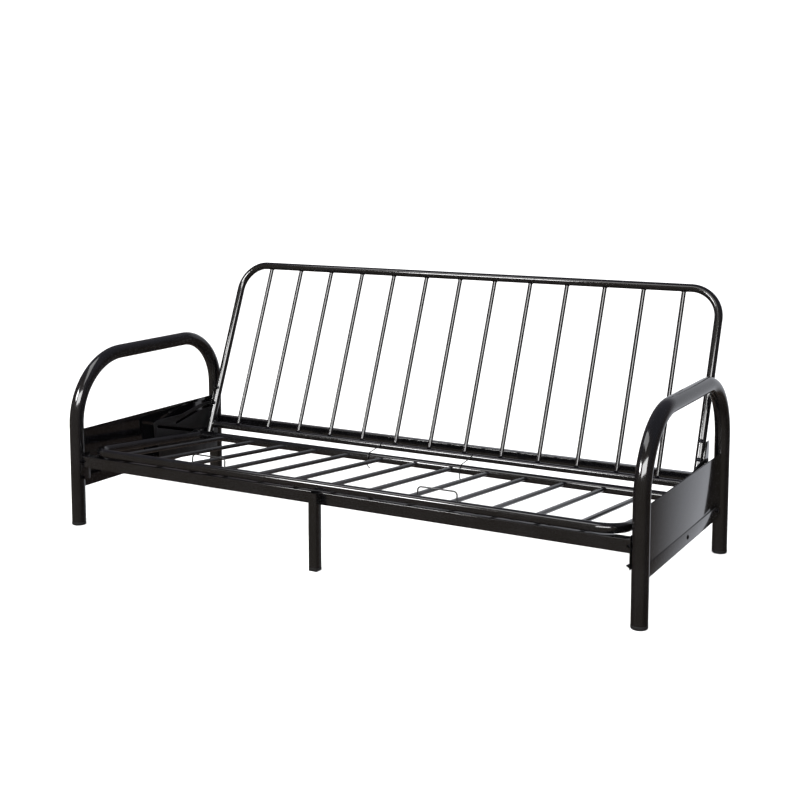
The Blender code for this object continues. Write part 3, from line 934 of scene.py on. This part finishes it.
class FUTON_OT_wire_ties(Operator):
    """Bends the two wires that hook over the seat's rear tube and rest on the back's lower tube"""

    bl_idname = "futon.wire_ties"
    bl_label = "Wire ties"

    def execute(self, context):
        rear = centre_of("seat_rear_tube")
        lower = centre_of("back_lower_tube")
        for _, word in SIDES:
            low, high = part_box(f"wire_tie_{word}")
            x = (low.x + high.x) / 2
            places = self.route(x, rear, lower)
            data = bpy.data.curves.new("tie", "CURVE")
            data.dimensions = "3D"
            data.bevel_depth = TIE_WIRE
            data.bevel_resolution = 3
            data.use_fill_caps = True
            spline = data.splines.new("NURBS")
            spline.points.add(len(places) - 1)
            for point, place in zip(spline.points, places):
                point.co = (*place, 1)
            spline.order_u = 4
            spline.use_endpoint_u = True
            data.resolution_u = 10
            deselect_all()
            obj = bpy.data.objects.new("tie", data)
            bpy.context.scene.collection.objects.link(obj)
            obj.select_set(True)
            bpy.context.view_layer.objects.active = obj
            bpy.ops.object.convert(target="MESH")
            bpy.ops.object.mode_set(mode="EDIT")
            tie = close_piece()
            hand_over(tie, f"bent_wire_tie_{word}", "seat", "black_wire", [f"wire_tie_{word}"])
        return {"FINISHED"}

    def route(self, x, rear, lower):
        """Curled tail, round the front of the rear tube, up and over the lower tube."""
        wrap = size_of("seat_rear_tube").z / 2 + 0.0026
        places = [(x + 0.005, rear.y - 0.010, rear.z - 0.038), (x + 0.001, rear.y - 0.016, rear.z - 0.034),
                  (x - 0.002, rear.y - 0.019, rear.z - 0.024)]
        for i in range(11):
            turn = math.radians(200 - 11 * i)
            places.append((x, rear.y + wrap * math.cos(turn), rear.z + wrap * math.sin(turn)))
        rest = size_of("back_lower_tube").z / 2 + 0.0030
        for i in range(6):
            turn = math.radians(172 - 12 * i)
            places.append((x, lower.y + rest * math.cos(turn), lower.z + rest * math.sin(turn)))
        return places


# ---------------------------------------------------------------- back deck


class FUTON_OT_back_frame(Operator):
    """Bends the back frame tube and fits its straight lower tube"""

    bl_idname = "futon.back_frame"
    bl_label = "Back frame"

    def execute(self, context):
        tubes = context.scene.futon_tubes
        hinge = joint_point("back_fold")
        radius = BACK_TUBE
        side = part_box("back_frame_tube")[1].x - radius
        foot, top = -BACK_FOOT, BACK_HIGH
        base = Vector((0, hinge.y, hinge.z))
        across = Vector((side, 0, 0))
        route = [base + across + along_back(foot), base + across + along_back(top),
                 base - across + along_back(top), base - across + along_back(foot)]
        back = bent_tube(route, (tubes.back_bend,) * 2, radius, tubes.around - 8, 24)
        hand_over(back, "bent_back_frame_tube", "back", "black_enamel_tube", ["back_frame_tube"])
        lower_low, lower_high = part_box("back_lower_tube")
        lower = centre_of("back_lower_tube")
        lower_radius = (lower_high.z - lower_low.z) / 2
        left, right = Vector((lower_low.x, lower.y, lower.z)), Vector((lower_high.x, lower.y, lower.z))
        tube = welded_bar(left, right, lower_radius, tubes.bead, 1.0, 0.0, tubes.around - 8)
        hand_over(tube, "welded_back_lower_tube", "back", "black_enamel_tube", ["back_lower_tube"])
        return {"FINISHED"}


class FUTON_OT_back_bars(Operator):
    """Makes the thirteen back bars, welded at the lower tube and the top"""

    bl_idname = "futon.back_bars"
    bl_label = "Back bars"

    def execute(self, context):
        tubes = context.scene.futon_tubes
        hinge = joint_point("back_fold")
        radius = size_of(f"back_bar_{MIDDLE_BAR:02d}").x / 2
        base = Vector((0, hinge.y, hinge.z))
        foot = LOWER_TUBE_AT + size_of("back_lower_tube").z / 2
        top = BACK_HIGH - BACK_TUBE
        bar = welded_bar(base + along_back(foot), base + along_back(top), radius, tubes.bead, 1.0, 0.0)
        set_out(bar, "back_bar", "back")
        return {"FINISHED"}


class FUTON_OT_back_brackets(Operator):
    """Finishes the back's brackets and the two bolts through each side tube"""

    bl_idname = "futon.back_brackets"
    bl_label = "Back brackets"

    def execute(self, context):
        hinge = joint_point("back_fold")
        facing = along_back(0, -1)
        side_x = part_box("back_frame_tube")[1].x - BACK_TUBE
        for side, word in SIDES:
            bracket = softened_plate(f"back_bracket_{word}")
            hand_over(bracket, f"eased_back_bracket_{word}", "back", "black_enamel_sheet",
                      [f"back_bracket_{word}"])
            for place, along in BACK_BOLTS:
                seat = Vector((side * side_x, hinge.y, hinge.z)) + along_back(along, -BACK_TUBE + 0.0012)
                bolt = button_bolt(seat, facing, 0.0068, 0.0042)
                hand_over(bolt, f"back_bolt_{place}_{word}", "back", "black_zinc_bolt")
        return {"FINISHED"}


# ---------------------------------------------------------------- studio


class FUTON_OT_stage(Operator):
    """Sets the pale floor, the soft studio light and the camera"""

    bl_idname = "futon.stage"
    bl_label = "Studio"

    def execute(self, context):
        self.floor(context.scene.futon_finishes)
        self.surroundings(context.scene)
        self.softbox("front_softbox", (2.1, -4.6, 3.0), (0, 0.35, 0.45), 5.0, 1.7, 270)
        self.softbox("left_softbox", (-1.8, -3.3, 2.3), (0.2, -0.45, 0.27), 1.2, 0.8, 90)
        self.softbox("overhead_softbox", (-0.6, -1.1, 2.9), (0, 0, 0.3), 3.4, 0.9, 25)
        self.camera(context.scene)
        context.scene.view_settings.view_transform = "Standard"
        return {"FINISHED"}

    def floor(self, finishes):
        deselect_all()
        bpy.ops.mesh.primitive_plane_add(size=16, location=(0, 0, -0.0005))
        bpy.ops.object.mode_set(mode="EDIT")
        bpy.ops.mesh.subdivide(number_cuts=3)
        bpy.ops.object.mode_set(mode="OBJECT")
        floor = bpy.context.object
        floor.name = "studio_floor"
        material, _, shader = blank_material("matt_white_studio_vinyl")
        shader.inputs["Base Color"].default_value = (*finishes.floor, 1)
        shader.inputs["Roughness"].default_value = 0.9
        floor.data.materials.append(material)
        floor.visible_glossy = False

    def surroundings(self, scene):
        """Pale paper behind the sofa and a dim warm room in front of it, on a plain white ground."""
        world = bpy.data.worlds.new("studio")
        scene.world = world
        world.use_nodes = True
        tree = world.node_tree
        background = tree.nodes["Background"]
        way = add_node(tree, "ShaderNodeTexCoord", {}).outputs["Generated"]
        parts = add_node(tree, "ShaderNodeSeparateXYZ", {}, [("Vector", way)])
        behind = add_node(tree, "ShaderNodeMapRange",
                          {"interpolation_type": "SMOOTHSTEP", "From Min": 0.76, "From Max": 0.97,
                           "To Min": 0.0, "To Max": 1.0}, [("Value", parts.outputs["Y"])])
        above = add_node(tree, "ShaderNodeMapRange",
                         {"interpolation_type": "SMOOTHSTEP", "From Min": -0.25, "From Max": 0.9,
                          "To Min": 0.0, "To Max": 1.0}, [("Value", parts.outputs["Z"])])
        room = add_node(tree, "ShaderNodeMix", {"data_type": "RGBA"}, [("Factor", above.outputs["Result"])])
        room.inputs[6].default_value = (*linear_colour("#4f4640"), 1)
        room.inputs[7].default_value = (*linear_colour("#6a6a74"), 1)
        ahead = add_node(tree, "ShaderNodeMapRange",
                         {"interpolation_type": "SMOOTHSTEP", "From Min": 0.0, "From Max": -0.8,
                          "To Min": 0.0, "To Max": 1.0}, [("Value", parts.outputs["Y"])])
        wall = add_node(tree, "ShaderNodeMix", {"data_type": "RGBA"},
                        [("Factor", ahead.outputs["Result"]), (6, room.outputs[2])])
        wall.inputs[7].default_value = (*linear_colour("#7c746a"), 1)
        paper = add_node(tree, "ShaderNodeMix", {"data_type": "RGBA"},
                         [("Factor", behind.outputs["Result"]), (6, wall.outputs[2])])
        paper.inputs[7].default_value = (*linear_colour("#bcbec4"), 1)
        ray = add_node(tree, "ShaderNodeLightPath", {})
        plain = add_node(tree, "ShaderNodeMath", {"operation": "MAXIMUM"},
                         [(0, ray.outputs["Is Camera Ray"]), (1, ray.outputs["Is Diffuse Ray"])])
        shown = add_node(tree, "ShaderNodeMix", {"data_type": "RGBA"},
                         [("Factor", plain.outputs[0]), (6, paper.outputs[2])])
        shown.inputs[7].default_value = (1.6, 1.6, 1.6, 1)
        tree.links.new(shown.outputs[2], background.inputs["Color"])
        background.inputs["Strength"].default_value = 1.0

    def softbox(self, name, place, aim, wide, deep, watts):
        light = bpy.data.lights.new(name, "AREA")
        light.shape = "RECTANGLE"
        light.size = wide
        light.size_y = deep
        light.energy = watts
        obj = bpy.data.objects.new(name, light)
        bpy.context.scene.collection.objects.link(obj)
        obj.location = place
        obj.rotation_euler = (Vector(aim) - Vector(place)).to_track_quat("-Z", "Y").to_euler()
        obj.visible_camera = False

    def camera(self, scene):
        data = bpy.data.cameras.new("studio_camera")
        data.sensor_width = 36
        data.lens = 58.644
        data.shift_y = -0.1339
        camera = bpy.data.objects.new("studio_camera", data)
        scene.collection.objects.link(camera)
        camera.location = (2.1887, -3.8509, 1.3233)
        camera.rotation_euler = (math.radians(83.793), 0, math.radians(29.475))
        scene.camera = camera


OPERATORS = (
    FUTON_OT_arm_tubes, FUTON_OT_foot_caps, FUTON_OT_side_panels, FUTON_OT_rails, FUTON_OT_rail_fittings,
    FUTON_OT_guides, FUTON_OT_hinge_pins, FUTON_OT_seat_frame, FUTON_OT_seat_slats, FUTON_OT_mattress_stops,
    FUTON_OT_wire_ties, FUTON_OT_back_frame, FUTON_OT_back_bars, FUTON_OT_back_brackets, FUTON_OT_stage,
)


class FUTON_PT_frame(Panel):
    """Lists the steps that build the futon frame"""

    bl_idname = "FUTON_PT_frame"
    bl_label = "Futon Frame"
    bl_space_type = "VIEW_3D"
    bl_region_type = "UI"
    bl_category = "Futon"

    def draw(self, context):
        scene = context.scene
        for group in (scene.futon_tubes, scene.futon_sheets, scene.futon_finishes):
            box = self.layout.box()
            for name in group.__annotations__:
                box.prop(group, name)
        for step in OPERATORS:
            self.layout.operator(step.bl_idname)


GROUPS = {"futon_tubes": FutonTubes, "futon_sheets": FutonSheets, "futon_finishes": FutonFinishes}


def register():
    for name, group in GROUPS.items():
        bpy.utils.register_class(group)
        setattr(bpy.types.Scene, name, PointerProperty(type=group))
    for step in OPERATORS:
        bpy.utils.register_class(step)
    bpy.utils.register_class(FUTON_PT_frame)


def unregister():
    bpy.utils.unregister_class(FUTON_PT_frame)
    for step in reversed(OPERATORS):
        bpy.utils.unregister_class(step)
    for name, group in reversed(GROUPS.items()):
        delattr(bpy.types.Scene, name)
        bpy.utils.unregister_class(group)


def main():
    register()
    for step in OPERATORS:
        group, name = step.bl_idname.split(".")
        getattr(getattr(bpy.ops, group), name)()


if __name__ == "__main__":
    main()
